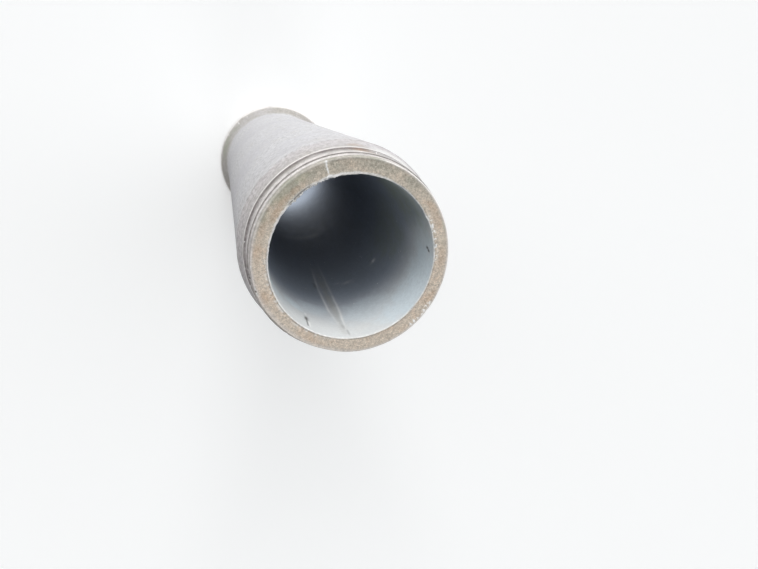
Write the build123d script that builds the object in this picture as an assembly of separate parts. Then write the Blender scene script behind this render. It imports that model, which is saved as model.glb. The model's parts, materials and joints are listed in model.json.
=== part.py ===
from build123d import *
import os

# A precast concrete culvert pipe with a bell-and-spigot joint, standing on its bell.
# Lengths are in millimetres. The origin is the centre of the bell's end face, on the ground.
# Heights run up the pipe's axis, from the bell at 0 to the spigot on top.

# Barrel
bore_diameter = 533.4
wall = 88.9
laying_length = 2438.4

# Joint, as one pipe's spigot sits in the next one's socket
socket_depth = 108.0
socket_diameter = 668.0
seat_clearance = 4.5
floor_gap = 6.0
face_gap = 5.0

# Socket
mouth_flare = 3.5
mouth_flare_length = 28.0
inner_land_length = 20.0
inner_land_step = 2.5

# Spigot
nose_length = 38.0
nose_step = 4.5
nose_taper = 3.5
shoulder_height = 8.0
shoulder_taper_length = 80.0
header_line_step = 1.0

# Bell
bell_wall = 70.0
bell_ring_length = 40.0
bell_taper_length = 160.0

# Rounded edges and corners
nose_edge_round = 6.0
seat_corner_round = 4.5
bell_sweep_round = 200.0
bell_ring_round = 6.0
bell_face_round = 5.0

# Bevelled edges and corners
bore_edge_bevel = 3.0
step_edge_bevel = 1.5
shoulder_edge_bevel = 2.0
mouth_edge_bevel = 3.0
socket_corner_bevel = 5.0

# Radii that follow from these sizes
bore_radius = bore_diameter / 2
barrel_radius = bore_radius + wall
socket_radius = socket_diameter / 2
mouth_radius = socket_radius + mouth_flare
inner_land_radius = socket_radius - inner_land_step
bell_radius = socket_radius + bell_wall
seat_radius = socket_radius - seat_clearance
nose_back_radius = seat_radius - nose_step
nose_face_radius = nose_back_radius - nose_taper
shoulder_radius = seat_radius + shoulder_height

# Heights that follow from these sizes
bell_face = 0.0
inner_land_bottom = bell_face + socket_depth - inner_land_length
socket_floor = bell_face + socket_depth
ring_top = bell_face + bell_ring_length
bell_top = ring_top + bell_taper_length
spigot_face = socket_floor - floor_gap + laying_length
nose_bottom = spigot_face - nose_length
shoulder = spigot_face - (socket_depth - floor_gap) - face_gap
barrel_top = shoulder - shoulder_taper_length


def spigot_corners():
    """Corners of the spigot from the barrel up to the bore's edge: radius, height, cut and its size."""
    return [
        (barrel_radius, barrel_top, None, 0),
        (barrel_radius - header_line_step, barrel_top, None, 0),
        (shoulder_radius, shoulder, chamfer, shoulder_edge_bevel),
        (seat_radius, shoulder, fillet, seat_corner_round),
        (seat_radius, nose_bottom, chamfer, step_edge_bevel),
        (nose_back_radius, nose_bottom, None, 0),
        (nose_face_radius, spigot_face, fillet, nose_edge_round),
        (bore_radius, spigot_face, chamfer, bore_edge_bevel),
    ]


def bell_corners():
    """Corners of the bell from the bore down the socket, under its face and up to the barrel."""
    return [
        (bore_radius, socket_floor, chamfer, bore_edge_bevel),
        (inner_land_radius, socket_floor, chamfer, socket_corner_bevel),
        (inner_land_radius, inner_land_bottom, None, 0),
        (socket_radius, inner_land_bottom, None, 0),
        (socket_radius, bell_face + mouth_flare_length, None, 0),
        (mouth_radius, bell_face, chamfer, mouth_edge_bevel),
        (bell_radius, bell_face, fillet, bell_face_round),
        (bell_radius, ring_top, fillet, bell_ring_round),
        (barrel_radius, bell_top, fillet, bell_sweep_round),
    ]


def wall_section():
    """The wall cut lengthwise on one side of the axis, with its edges rounded or bevelled."""
    corners = spigot_corners() + bell_corners()
    with BuildSketch(Plane.XZ) as section:
        with BuildLine():
            Polyline(*[(radius, height) for radius, height, _, _ in corners], close=True)
        make_face()
        for radius, height, cut, size in corners:
            if cut:
                corner = section.vertices().sort_by_distance((radius, height, 0))[0]
                cut(corner, size)
    return section.sketch


culvert_pipe = revolve(wall_section(), axis=Axis.Z)

os.makedirs("parts", exist_ok=True)
export_step(culvert_pipe, "parts/culvert_pipe.step")
print(f"height {spigot_face:.1f} mm, barrel {2 * barrel_radius:.1f}, bell {2 * bell_radius:.1f}")
print(f"spigot seat {2 * seat_radius:.1f}, socket {2 * socket_radius:.1f}, bore {bore_diameter:.1f}")
print(f"volume {culvert_pipe.volume / 1e9:.4f} cubic metres, one solid: {len(culvert_pipe.solids()) == 1}")
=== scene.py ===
import json
import math
from itertools import product
from types import SimpleNamespace

import bpy
import numpy as np
from bpy.props import FloatProperty, FloatVectorProperty, IntProperty, PointerProperty
from mathutils import Matrix, Vector


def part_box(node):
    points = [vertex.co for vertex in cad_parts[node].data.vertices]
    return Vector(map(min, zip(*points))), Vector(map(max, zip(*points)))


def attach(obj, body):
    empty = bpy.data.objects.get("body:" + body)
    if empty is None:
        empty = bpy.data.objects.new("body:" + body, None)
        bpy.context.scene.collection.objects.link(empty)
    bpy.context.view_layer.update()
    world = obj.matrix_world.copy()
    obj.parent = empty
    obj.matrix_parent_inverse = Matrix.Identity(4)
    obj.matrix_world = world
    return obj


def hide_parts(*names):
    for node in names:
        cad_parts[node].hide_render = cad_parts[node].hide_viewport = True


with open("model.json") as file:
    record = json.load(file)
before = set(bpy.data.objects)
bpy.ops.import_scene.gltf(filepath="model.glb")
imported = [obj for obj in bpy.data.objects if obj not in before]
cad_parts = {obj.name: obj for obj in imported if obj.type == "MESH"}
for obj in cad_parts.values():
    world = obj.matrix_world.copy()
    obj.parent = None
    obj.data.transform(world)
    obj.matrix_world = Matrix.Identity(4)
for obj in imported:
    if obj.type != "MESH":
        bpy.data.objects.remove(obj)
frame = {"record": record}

bl_info = {
    "name": "Concrete culvert pipe",
    "version": (1, 0, 0),
    "blender": (4, 5, 0),
    "location": "View3D > Sidebar > Pipe",
    "description": "Cast surfaces, chips, stains and a pale studio for a bell-and-spigot concrete pipe",
    "category": "Object",
}

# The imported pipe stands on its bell, and its spigot is on top. Lengths are in metres.
# Turns are degrees anticlockwise from +X as seen from above, and -Y, at 270, is the weathered upper side.
CAD_NODE = "culvert_pipe"
BODY = "root"
MM = 0.001
UP = np.array([0.0, 0.0, 1.0])
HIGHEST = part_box(CAD_NODE)[1]
RADII = {mount["name"]: mount["dims"].get("r_mm", 0) * MM for mount in frame["record"]["mounts"]}

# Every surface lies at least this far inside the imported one.
LEAST_SINK = 0.0003
# Turns of the weathered side, the one opposite and the side that took the rain. The wear is centred on the
# first and last; the bore's painted shade stays furthest from the mouth round the one opposite.
TOP_TURN, BOTTOM_TURN, RAIN_TURN = 275, 95, 292
# Turns where the dragging of the pipe starts, is at its full, starts to end and ends.
DRAGGED = (0, 25, 70, 95)
# Radii on the spigot's face: the line that the trowel left, a hairline crack and a ring of broken crumbs.
TROWEL_RADIUS, CRACK_RADIUS, CRUMB_RADIUS = 0.3125, 0.2722, 0.3080


def metres(name, description, default):
    """A length."""
    return FloatProperty(name=name, description=description, default=default, unit="LENGTH")


def whole(name, description, default, least=0):
    """A whole number."""
    return IntProperty(name=name, description=description, default=default, min=least)


def amount(name, description, default, **more):
    """A number that isn't below zero, such as a light's strength."""
    return FloatProperty(name=name, description=description, default=default, min=0, **more)


def tint(name, description, default):
    """A colour."""
    return FloatVectorProperty(
        name=name, description=description, default=default, subtype="COLOR", size=3, min=0, max=1)


def point(name, description, default):
    """A place in the scene."""
    return FloatVectorProperty(
        name=name, description=description, default=default, subtype="TRANSLATION", unit="LENGTH", size=3)


class PipeSizes(bpy.types.PropertyGroup):
    """Sizes of the pipe's wall, joint and bell."""
    length: metres("Length", "From the bell's face to the spigot's face", HIGHEST.z)
    bore_radius: metres("Bore radius", "Inside of the barrel", RADII["waterway"])
    barrel_radius: metres("Barrel radius", "Outside of the barrel", 0.3556)
    bell_radius: metres("Bell radius", "Outside of the bell", HIGHEST.x)
    seat_radius: metres("Seat radius", "Where the spigot takes its gasket", RADII["spigot"])
    socket_radius: metres("Socket radius", "Inside of the bell", RADII["socket"])
    socket_depth: metres("Socket depth", "From the bell's face to the socket's floor", 0.108)
    shoulder: metres("Shoulder height", "Height of the ring that stops the next pipe's bell", 2.4334)
    shoulder_rise: metres("Shoulder rise", "How far the shoulder stands out from the seat", 0.008)
    header_taper: metres("Header taper", "Length of the cone between the shoulder and the barrel", 0.080)
    header_step: metres("Header line", "Step that the mould's ring left at the foot of the cone", 0.001)
    nose_length: metres("Nose length", "Length of the nose above the gasket step", 0.038)
    nose_step: metres("Nose step", "Height of the gasket step", 0.0045)
    nose_taper: metres("Nose taper", "How far the nose closes in towards the face", 0.0035)
    nose_round: metres("Nose rounding", "Radius of the face's outer edge", 0.006)
    bell_ring: metres("Bell ring", "Length of the bell's straight ring", 0.040)
    bell_top: metres("Bell top", "Height at which the bell's cone would meet the barrel", 0.200)
    bell_sweep: metres("Bell sweep", "Radius of the hollow between the bell's cone and the barrel", 0.200)
    mouth_flare: metres("Mouth flare", "How far the socket opens at its mouth", 0.0035)
    mouth_flare_length: metres("Mouth flare length", "Depth of the flared mouth", 0.028)
    inner_land_step: metres("Inner land step", "Step in from the socket's wall at its inner end", 0.0025)
    inner_land_length: metres("Inner land length", "Length of the socket's inner land", 0.020)
    fine_columns: whole("Fine columns", "Facets round the spigot", 1440, 90)
    columns: whole("Columns", "Facets round the rest, half as many as the fine ones", 720, 45)

    @property
    def barrel_top(self):
        """Height of the line at the foot of the header's cone."""
        return self.shoulder - self.header_taper

    @property
    def seat_top(self):
        """Height of the gasket step."""
        return self.length - self.nose_length

    @property
    def nose_back(self):
        """Radius of the nose next to the gasket step."""
        return self.seat_radius - self.nose_step

    @property
    def face_edge(self):
        """Radius of the spigot's face."""
        return self.nose_back - self.nose_taper

    @property
    def shoulder_edge(self):
        """Radius of the shoulder."""
        return self.seat_radius + self.shoulder_rise


class PipeWear(bpy.types.PropertyGroup):
    """How uneven, chipped and dirty the casting is."""
    seed: whole("Seed", "Start of the random draws for chips and pits", 7)
    unevenness: metres("Unevenness", "Slow waves of the cast surface", 0.0006)
    relief: metres("Relief", "Height of the sandy relief on the surface", 0.0003)
    bore_out_of_round: metres("Bore out of round", "How far the bore's end leaves a true circle", 0.0020)
    burr: metres("Burr", "How far the ragged lip hangs into the bore", 0.0085)
    edge_chips: whole("Edge chips", "Small chips round the spigot's bore edge", 80)
    ragged_chips: whole("Ragged chips", "Larger chips where the bore edge is ragged", 12)
    outer_chips: whole("Outer chips", "Chips on the outer edges and steps", 150)
    bell_chips: whole("Bell chips", "Chips on the bell's rims", 130)
    pits: whole("Pits", "Air holes on the spigot", 150)
    rubbed: metres("Rubbed nose", "How far one side of the nose is rubbed in", 0.005)


class PipeColours(bpy.types.PropertyGroup):
    """Colours of the concrete and of what has settled on it; some of them also paint light and shade on it.
    """
    barrel: tint("Barrel", "Pale grey of the barrel", (0.700, 0.690, 0.698))
    lilac: tint("Barrel clouds", "Faint lilac clouds of the barrel", (0.600, 0.585, 0.612))
    buff: tint("Barrel mottle", "Faint buff mottle of the barrel", (0.610, 0.575, 0.525))
    header: tint("Header band", "Dull band next to the moulded joint", (0.585, 0.550, 0.545))
    # Partly the pale colour of the seat and the nose's land, partly a painted highlight on them.
    cream: tint("Pale bands", "Pale bands of the gasket seat and of the nose", (0.880, 0.830, 0.800))
    # The gasket mark is partly a real mark and partly painted shade in the shoulder's corner.
    gasket: tint("Gasket mark", "Dark mark in the corner of the shoulder", (0.190, 0.165, 0.162))
    face: tint("End face", "Sand colour of the end faces", (0.598, 0.517, 0.430))
    tan: tint("End face patches", "Warm tan patches of the end faces", (0.615, 0.462, 0.342))
    aged: tint("Aged face", "Olive grey of the weathered upper side", (0.360, 0.338, 0.280))
    sand_dark: tint("Dark sand", "Brown sand grains of the end faces", (0.300, 0.240, 0.170))
    sand_pale: tint("Pale sand", "Pale sand grains of the end faces", (0.740, 0.660, 0.560))
    # The pale grey at the bore's mouth giving way to the bluish grey further in is painted shade down the
    # bore.
    bore_mouth: tint("Bore mouth", "Dry pale grey of the bore near its end", (0.735, 0.740, 0.728))
    bore: tint("Bore", "Damp bluish grey further in", (0.372, 0.408, 0.468))
    # Painted light: a bluish white pool on the bore's lower side near its mouth.
    milky: tint("Bore film", "Bluish white film of the bore on one side", (0.715, 0.795, 0.835))
    silt: tint("Silt", "Buff silt that dried between two lines of lime in the bore", (0.530, 0.515, 0.480))
    soil: tint("Soil stain", "Dull brown of the side that lay underneath", (0.400, 0.365, 0.315))
    # Pale rubbed edges, also the colour of painted highlights on the nose, the shoulder and the bell's rim.
    worn: tint("Worn edges", "Pale rubbed edges", (0.930, 0.895, 0.865))
    fresh: tint("Fresh chip", "Whitish broken concrete", (0.840, 0.830, 0.805))
    lime: tint("Lime", "White lime washed out of the concrete", (0.920, 0.915, 0.900))
    rust: tint("Rust", "Orange-brown stain", (0.420, 0.245, 0.130))
    # This algae colour also paints shade on the bell at turns 318 to 338.
    moss: tint("Algae", "Grey-green film", (0.350, 0.375, 0.270))
    # This dark colour also paints shade in pits, nicks, small air holes and at the gasket step.
    grime: tint("Grime", "Dark dirt in pits and corners", (0.085, 0.075, 0.065))
    floor: tint("Floor", "Pale studio floor", (0.800, 0.800, 0.795))


class PipeStage(bpy.types.PropertyGroup):
    """The camera, at the photograph's viewing angle, and the soft light."""
    camera_place: point("Camera", "Where the camera stands", (0.3588, -0.4966, 4.1074))
    camera_aim: point("Aim", "Point at the middle of the picture", (-0.0792, 0.0891, 2.5404))
    lens: amount("Lens", "Focal length for a sensor 36 mm wide", 25.34)
    sky_bright: amount("Bright side", "Strength of the even light from the weathered side", 1.45)
    sky_dim: amount("Dim side", "Strength of the even light from the other side", 0.20)
    key: amount("Key light", "Strength of the mild, soft light from the weathered side", 1.22)
    key_angle: amount("Key softness", "Angle that the mild light spreads over", 0.6, max=3, subtype="ANGLE")
    far_end: amount("Far end lamp", "Power of the small lamp that stands for the open lower end", 0.78,
                    unit="POWER")
    fill: amount("Fill light", "Strength of the low light from the other side, kept out of the bore", 1.2)


def smooth(low, high, value):
    """Rises from 0 at low to 1 at high along the curve 3t^2 - 2t^3."""
    t = np.clip((value - low) / (high - low), 0.0, 1.0)
    return t * t * (3.0 - 2.0 * t)


def plateau(value, start, full, last, end):
    """Rises from 0 at start to 1 at full, and falls again from last to 0 at end."""
    return smooth(start, full, value) * smooth(end, last, value)


def fade(distance, width):
    """Falls from 1 on both sides as exp(-(distance / width)^2)."""
    return np.exp(-(distance / width) ** 2)


def turn_gap(turn, other):
    """Degrees from one turn to another, from -180 to 180."""
    return (turn - other + 180.0) % 360.0 - 180.0


def away(turn, other):
    """Degrees between two turns."""
    return np.abs(turn_gap(turn, other))


def noise(points, cell, seed=0):
    """Random values from -1 to 1 on the corners of a lattice of cubes, eased between them as 3t^2 - 2t^3.

    A corner's value comes from its whole coordinates, multiplied by large primes and stirred."""
    place = points / cell + 100.37 * (seed + 1)
    corner = np.floor(place).astype(np.int64)
    share = place - corner
    share = share * share * (3.0 - 2.0 * share)
    total = np.zeros(points.shape[:-1])
    for step in product((0, 1), repeat=3):
        k = corner + np.array(step)
        code = (k[..., 0] * 73856093) ^ (k[..., 1] * 19349663) ^ (k[..., 2] * 83492791)
        code = ((code ^ (code >> 13)) * 1274126177) & 0x7FFFFFFF
        code = ((code ^ (code >> 15)) * 2246822519) & 0x7FFFFFFF
        value = ((code >> 7) & 0xFFFF) / 32767.5 - 1.0
        weight = np.prod(np.where(np.array(step) == 1, share, 1.0 - share), axis=-1)
        total += value * weight
    return total


def fractal(points, cell, octaves, seed=0):
    """Sum of noises, each half as high and half as wide as the one before."""
    total = np.zeros(points.shape[:-1])
    for octave in range(octaves):
        total += noise(points, cell / 2 ** octave, seed + 17 * octave) / 2 ** octave
    return total / (2.0 - 0.5 ** (octaves - 1))


def wall_corners(s):
    """Corners of the wall's section: up the barrel, over the spigot, down the bore and out under the bell.

    Each is (mark, radius, height, cut, its size, rows of the stretch that follows)."""
    land = s.socket_radius - s.inner_land_step
    land_low = s.socket_depth - s.inner_land_length
    return [
        ("barrel foot", s.barrel_radius, 0.300, "", 0, 131),
        ("header", s.barrel_radius, s.barrel_top - 0.060, "", 0, 9),
        ("", s.barrel_radius, s.barrel_top, "", 0, 1),
        ("", s.barrel_radius - s.header_step, s.barrel_top, "", 0, 26),
        ("", s.shoulder_edge, s.shoulder, "bevel", 0.002, 3),
        ("", s.seat_radius, s.shoulder, "round", 0.0045, 18),
        ("", s.seat_radius, s.seat_top, "bevel", 0.0015, 3),
        ("nose", s.nose_back, s.seat_top, "", 0, 12),
        ("", s.face_edge, s.length, "round", s.nose_round, 24),
        ("", s.bore_radius, s.length, "bevel", 0.003, 20),
        ("bore top", s.bore_radius, s.length - 0.060, "", 0, 45),
        ("", s.bore_radius, s.length - 0.700, "", 0, 40),
        ("bore foot", s.bore_radius, s.socket_depth + 0.040, "", 0, 10),
        ("", s.bore_radius, s.socket_depth, "bevel", 0.003, 16),
        ("", land, s.socket_depth, "bevel", 0.005, 6),
        ("", land, land_low, "", 0, 1),
        ("", s.socket_radius, land_low, "", 0, 14),
        ("", s.socket_radius, s.mouth_flare_length, "", 0, 8),
        ("", s.socket_radius + s.mouth_flare, 0.0, "bevel", 0.003, 18),
        ("", s.bell_radius, 0.0, "round", 0.005, 4),
        ("bell side", s.bell_radius, 0.020, "", 0, 7),
        ("", s.bell_radius, s.bell_ring, "round", 0.006, 40),
        ("", s.barrel_radius, s.bell_top, "round", s.bell_sweep, 14),
    ]


def cut_corner(before, corner, after, cut, size, turns=6):
    """A bevel gives the two points at its size from the corner. A rounding gives points at equal turns on the
    arc that touches both sides: its ends lie size / tan(half the corner's angle) from the corner."""
    one = (before - corner) / np.linalg.norm(before - corner)
    two = (after - corner) / np.linalg.norm(after - corner)
    if cut == "bevel":
        return [corner + one * size, corner + two * size]
    half = math.acos(float(np.clip(one @ two, -1.0, 1.0))) / 2
    middle = one + two
    centre = corner + middle / np.linalg.norm(middle) * size / math.sin(half)
    first = corner + one * size / math.tan(half) - centre
    last = corner + two * size / math.tan(half) - centre
    spread = math.acos(float(np.clip(first @ last / size ** 2, -1.0, 1.0)))
    shares = np.linspace(0.0, 1.0, turns + 1)
    return [centre + (first * math.sin((1 - t) * spread) + last * math.sin(t * spread)) / math.sin(spread)
            for t in shares]


def wall_section(s):
    """The section as rows: each stretch between corners is divided so that rows lie closer at its ends, at
    k/n - 0.7 sin(2 pi k/n) / (2 pi) of its length. Returns radius and height, the outward normal and the row
    of each mark."""
    corners = wall_corners(s)
    count = len(corners)
    place = [np.array(corner[1:3]) for corner in corners]
    ends = []
    for i, (_, _, _, cut, size, _) in enumerate(corners):
        beside = place[i - 1], place[i], place[(i + 1) % count]
        ends.append(cut_corner(*beside, cut, size) if cut else [place[i]])
    rows, marks = [], {}
    for i, (mark, *_, steps) in enumerate(corners):
        if mark:
            marks[mark] = len(rows)
        rows += ends[i]
        start, stop = ends[i][-1], ends[(i + 1) % count][0]
        k = np.arange(1, steps) / steps
        share = k - 0.7 * np.sin(2 * math.pi * k) / (2 * math.pi)
        rows += list(start + share[:, None] * (stop - start))
    rows = np.array(rows)
    along = np.roll(rows, -1, axis=0) - rows
    along /= np.linalg.norm(along, axis=1)[:, None]
    side = np.stack([along[:, 1], -along[:, 0]], axis=1)
    normal = side + np.roll(side, 1, axis=0)
    normal /= np.linalg.norm(normal, axis=1)[:, None]
    return rows, normal, marks


def out_of_round(turn, height, s, w):
    """Radial shift of the wall near the spigot: cosines of one, two and three turns, less down the pipe."""
    a = np.radians(turn)
    shape = 0.55 * np.cos(a - math.radians(20)) + 0.40 * np.cos(2 * (a - math.radians(60)))
    shape += 0.25 * np.cos(3 * (a - math.radians(8)))
    return w.bore_out_of_round * shape * smooth(s.length - 0.9, s.length, height)


def burr(turn, rows, s, w):
    """How far the ragged lip of the bore's end hangs into the bore: uneven noise round the edge times
    exp(-d^2), with d the distance to the edge over 5 mm. It is thickest where the mould came off roughly."""
    across = (rows[:, 0] - s.bore_radius) ** 2 + (rows[:, 1] - s.length) ** 2
    near = np.exp(-across / 0.005 ** 2)[:, None]
    a = np.radians(turn)
    ring = np.stack([np.cos(a), np.sin(a), 0 * turn], axis=-1) * s.bore_radius
    ragged = np.clip(0.42 + 1.0 * fractal(ring, 0.024, 3, 51) + 0.8 * fractal(ring, 0.0065, 2, 52), 0, 1.4)
    rough = plateau(turn, 276, 286, 314, 322)
    thin = 0.30 * smooth(110, 70, away(turn, 280))
    clump = 0.5 * smooth(4.5, 2.0, away(turn, 285.5))
    return w.burr * near * ragged * (0.06 + thin + 0.72 * rough + clump)


def rubbed_nose(turn, rows, s, w):
    """How far the nose's outer side is rubbed in: a bump over the turns where the pipe was dragged, times an
    eased rise above the gasket step."""
    radius, height = rows.T
    outer = smooth(s.bore_radius + 0.030, s.bore_radius + 0.045, radius)
    outer = outer * smooth(s.seat_top, s.seat_top + 0.02, height)
    return w.rubbed * outer[:, None] * plateau(turn, 18, 42, 66, 92)


def edge_chip(turn, radius, height, lean, width, depth, stretch):
    """A chip: a ball, longer round the pipe by stretch, that cuts width wide and depth deep into an edge.

    Its radius is (width^2 / 4 + depth^2) / (2 depth), and its middle stands off the edge along lean."""
    ball = (width * width / 4 + depth * depth) / (2 * depth)
    a = math.radians(turn)
    out = np.array([math.cos(a), math.sin(a), 0.0])
    way = lean[0] * out + lean[1] * UP
    way /= np.linalg.norm(way)
    centre = radius * out + height * UP + way * (ball - depth)
    tangent = np.array([-math.sin(a), math.cos(a), 0.0])
    return centre, tangent, ball, stretch


def random_chip(rng, place, widths, depths, stretches):
    """A chip at any turn of an edge (radius, height, lean). Its width in millimetres, its depth as a share of
    the width, and its stretch are drawn between two numbers each."""
    width = rng.uniform(*widths) * MM
    turn = rng.uniform(0, 360)
    return edge_chip(turn, *place, width, width * rng.uniform(*depths), rng.uniform(*stretches))


def spigot_chips(s, w):
    """Chips of the spigot: many small ones round the bore's edge, larger ones where that edge is ragged, and
    a few on the shoulder, the gasket step and the face's outer edge."""
    rng = np.random.default_rng(w.seed)
    bore_edge = s.bore_radius + 0.0015, s.length - 0.0015, (-1, 1)
    nose_edge = s.face_edge - 0.002, s.length - 0.002, (1, 1)
    step_edge = s.seat_radius - 0.0007, s.seat_top - 0.0007, (1, 1)
    shoulder_edge = s.shoulder_edge - 0.0007, s.shoulder - 0.0007, (1, 1)
    chips = [random_chip(rng, bore_edge, (3, 9), (0.16, 0.3), (1, 2.4)) for _ in range(w.edge_chips)]
    for _ in range(w.ragged_chips):
        width = rng.uniform(6, 12) * MM
        chips.append(edge_chip(rng.uniform(294, 320), s.bore_radius + 0.0005, s.length - 0.0005,
                               (-1, rng.uniform(0.5, 1.6)), width, width * rng.uniform(0.2, 0.34),
                               rng.uniform(1, 2.2)))
    for turn, width in ((185.6, 11), (181.3, 9), (222, 9), (235, 12), (38, 8), (57, 9), (345, 8)):
        chips.append(edge_chip(turn, *bore_edge, width * MM, width * 0.3 * MM, 1.6))
    outer_edges = (nose_edge, step_edge, shoulder_edge)
    for _ in range(w.outer_chips):
        place = outer_edges[rng.integers(0, 3)]
        chips.append(random_chip(rng, place, (3, 8), (0.14, 0.24), (1, 3)))
    for turn, width in ((141, 13), (138, 10), (130, 11), (146, 7)):
        chips.append(edge_chip(turn, *nose_edge, width * MM, width * 0.22 * MM, 1.3))
    for turn in np.arange(322, 346, 2.3):
        chips.append(edge_chip(turn + rng.uniform(-0.7, 0.7), *step_edge,
                               rng.uniform(4, 7) * MM, rng.uniform(0.8, 1.5) * MM, rng.uniform(1, 1.8)))
    return chips


def bell_chips(s, w):
    """Chips of the bell: on its two outer rims, its mouth and the bore's edge at the socket's floor."""
    rng = np.random.default_rng(w.seed + 1)
    edges = (
        (s.bell_radius - 0.0018, 0.0018, (1, -1)),
        (s.bell_radius - 0.0008, s.bell_ring - 0.0008, (1, 0.6)),
        (s.socket_radius + s.mouth_flare + 0.0015, 0.0015, (-1, -1)),
        (s.bore_radius + 0.0015, s.socket_depth + 0.0015, (-1, -1)),
    )
    chips = []
    for _ in range(w.bell_chips):
        place = edges[rng.integers(0, 4)]
        chips.append(random_chip(rng, place, (5, 16), (0.14, 0.26), (1, 2.6)))
    return chips


def spigot_pits(s, w):
    """Air holes of the spigot: small balls on the face, the nose, the seat and the cone below the shoulder,
    then single ones on the nose's left side and in the bore."""
    rng = np.random.default_rng(w.seed + 2)
    top = s.length
    pits = []
    for _ in range(w.pits):
        width = rng.uniform(2.5, 5) * MM
        zone = rng.integers(0, 4)
        if zone == 0:
            place = rng.uniform(0.275, 0.312), top, (0, 1)
        elif zone == 1:
            place = s.nose_back - 0.0015, top - rng.uniform(0.008, 0.032), (1, 0)
        elif zone == 2:
            place = s.seat_radius, top - rng.uniform(0.045, 0.095), (1, 0)
        else:
            share = rng.uniform(0, 1)
            place = s.shoulder_edge + share * 0.017, s.shoulder - share * s.header_taper, (1, 0.2)
        pits.append(edge_chip(rng.uniform(0, 360), *place, width, width * 0.4, 1.0))
    for turn, radius, drop, width in ((2, 328.5, 38.5, 9), (5.5, 329, 38.5, 8), (7.7, 327, 38, 10),
                                      (10, 324.5, 25, 8), (13.8, 320, 2, 7), (18, 322, 6, 6)):
        place = radius * MM, top - drop * MM, (1, 0.7)
        pits.append(edge_chip(turn, *place, width * MM, width * 0.45 * MM, 1.2))
    for turn, drop, width in ((56.5, 107, 11), (56.1, 91, 13), (180.5, 61, 10), (179.1, 50, 9),
                              (231, 140, 6)):
        place = s.bore_radius, top - drop * MM, (-1, 0)
        pits.append(edge_chip(turn, *place, width * MM, width * 0.3 * MM, 1.0))
    return pits


def scoop(points, normals, cuts):
    """Moves each point that lies inside a ball back along its normal until it lies on that ball, and returns
    how far. With a the way from the ball's middle, that is n.a + sqrt((n.a)^2 - a.a + r^2)."""
    depth = np.zeros(points.shape[:2])
    columns = points.shape[1]
    for centre, tangent, ball, stretch in cuts:
        reach = ball * max(stretch, 1.0) * 1.3
        wide = int(reach / np.hypot(*centre[:2]) / (2 * math.pi) * columns) + 2
        middle = int(round(math.atan2(centre[1], centre[0]) / (2 * math.pi) * columns))
        cols = np.arange(middle - wide, middle + wide + 1) % columns
        from_ball = points[:, middle % columns] - centre
        from_ball = from_ball - (from_ball @ tangent)[:, None] * tangent
        near = np.nonzero(np.abs(from_ball).max(axis=1) < reach)[0]
        if len(near) == 0:
            continue
        block = np.ix_(near, cols)
        part = points[block]
        a = part - centre
        around = a @ tangent
        a = a - (around * (1 - 1 / stretch))[..., None] * tangent
        size = ball * (1.0 + 0.16 * noise(part, 0.005, 5))
        inward = (a * normals[block]).sum(axis=-1)
        inside = (a * a).sum(axis=-1) - size * size
        cut = np.where(inside < 0, inward + np.sqrt(np.maximum(inward * inward - inside, 0.0)), 0.0)
        points[block] = part - normals[block] * cut[..., None]
        depth[block] = np.maximum(depth[block], cut)
    return depth


def spot(p, turn, radius, drop, around, along):
    """Fades from 1 at a place as exp(-d^2), d being the distance round the pipe over around and the distance
    in the section over along, taken together. The place and the two reaches are in millimetres."""
    arc = p.radius * np.radians(turn_gap(p.turn, turn))
    across = (p.radius - radius * MM) ** 2 + (p.drop - drop * MM) ** 2
    return np.exp(-(arc / (around * MM)) ** 2 - across / (along * MM) ** 2)


def streak(p, radius, from_turn, from_drop, to_turn, to_drop, width, from_strength, to_strength):
    """On a straight line of a wall unrolled at a radius its strength goes evenly from one end's to the
    other's. Off the line it fades as exp(-(d / width)^2), d being the distance to it."""
    arc = np.radians(turn_gap(p.turn, from_turn)) * radius + 0.0015 * p.mottle
    fall = p.drop - from_drop * MM
    way = np.array([math.radians(to_turn - from_turn) * radius, (to_drop - from_drop) * MM])
    share = np.clip((arc * way[0] + fall * way[1]) / (way @ way), 0, 1)
    strength = from_strength + (to_strength - from_strength) * share
    return strength * fade(np.hypot(arc - share * way[0], fall - share * way[1]), width * MM)


# A mark at this radius lies on the bore's wall alone.
BORE_WALL = 267

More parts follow.
